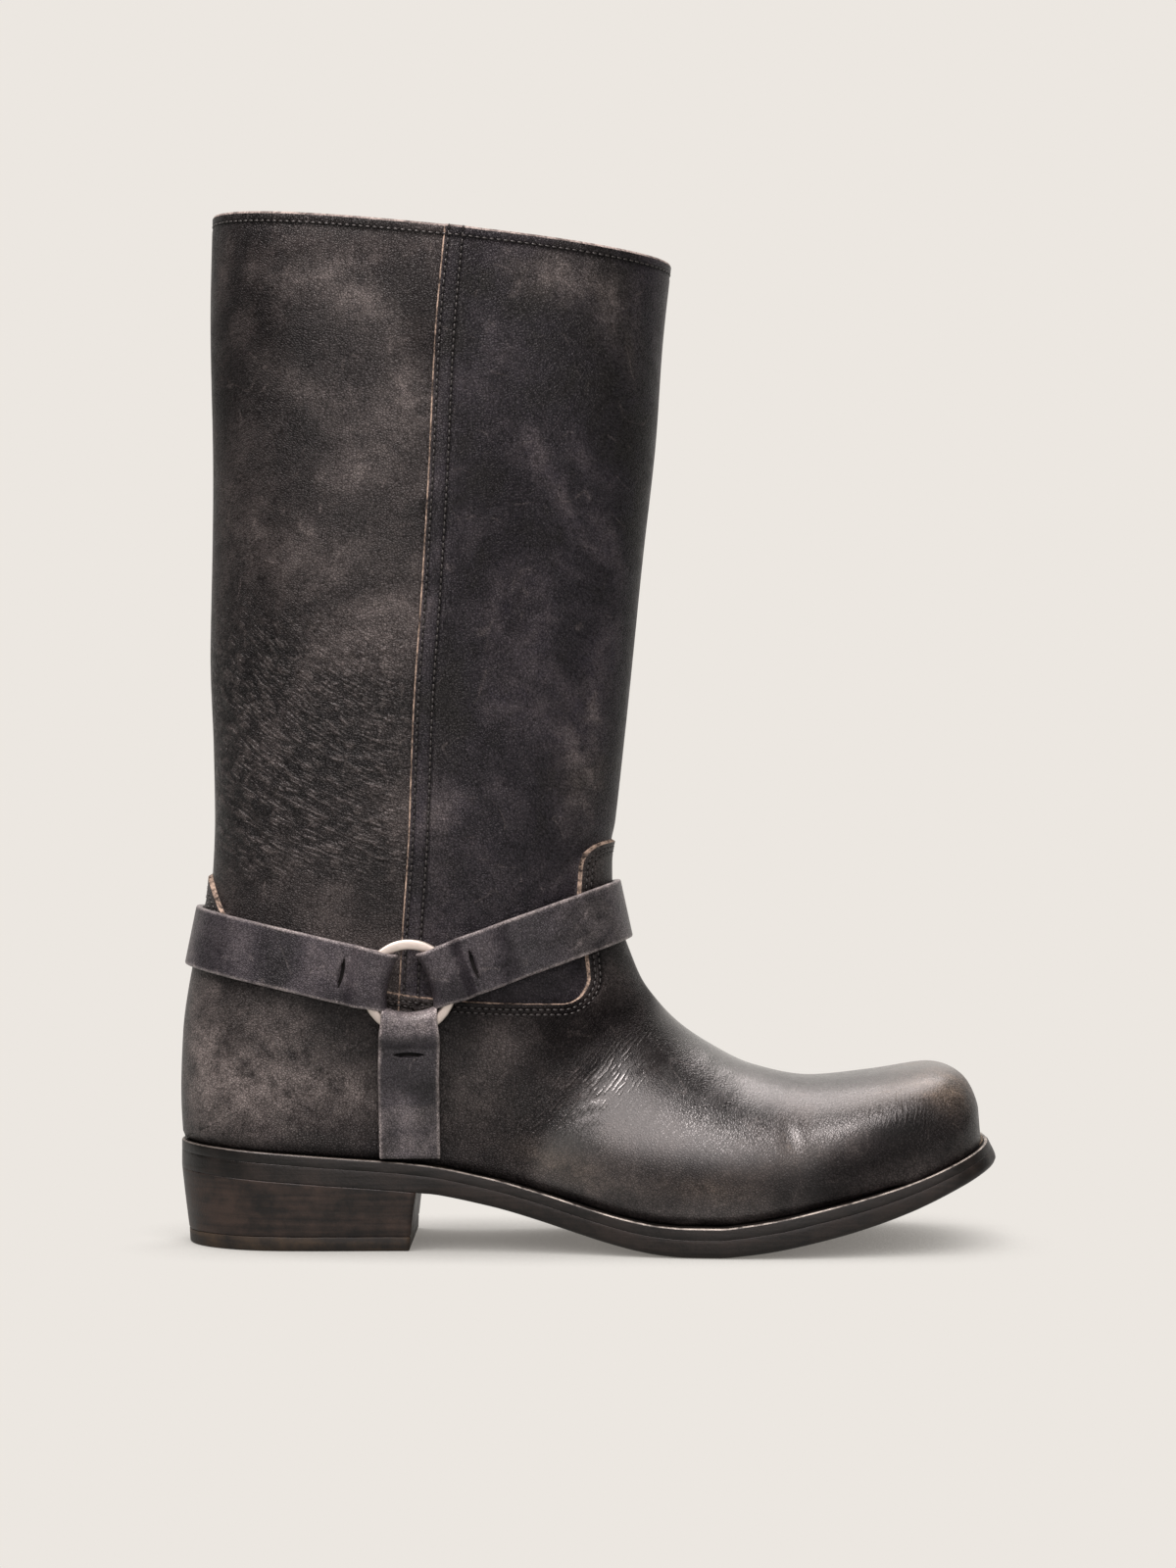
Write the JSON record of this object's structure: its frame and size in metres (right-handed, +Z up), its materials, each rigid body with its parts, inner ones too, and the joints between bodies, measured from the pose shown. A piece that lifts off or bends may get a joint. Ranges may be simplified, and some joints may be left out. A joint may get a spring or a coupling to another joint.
{
  "type": "harness boot",
  "caption": "Tall pull-on leather biker boot with a square toe, welted sole, low stacked heel and a strap harness held by a metal ring over each ankle.",
  "frame": {"origin": "on the floor, under the middle of the boot's length and width", "axes": "+X to the toe, +Y to the inner side of the foot, +Z up out of the shaft"},
  "size_m": [0.3095, 0.103, 0.3898],
  "materials": {
    "heel_rubber": "matt, scuffed",
    "sole_leather": "dark stained edge, matt",
    "welt_leather": "dark stained, worn light along its top edge",
    "insole_board": "plain tan, matt",
    "upper_leather": "distressed charcoal black, semi-gloss where rubbed",
    "strap_leather": "distressed charcoal black, raw worn edges",
    "nickel": "satin nickel plate"
  },
  "bodies": {
    "root": {"heel_top_lift": "heel_rubber", "heel_stack": "sole_leather", "outsole": "sole_leather", "welt": "welt_leather", "insole": "insole_board", "upper": "upper_leather", "strap_front": "strap_leather", "strap_back": "strap_leather", "strap_down_outer": "strap_leather", "strap_down_inner": "strap_leather", "ring_outer": "nickel", "ring_inner": "nickel"}
  },
  "joints": []
}
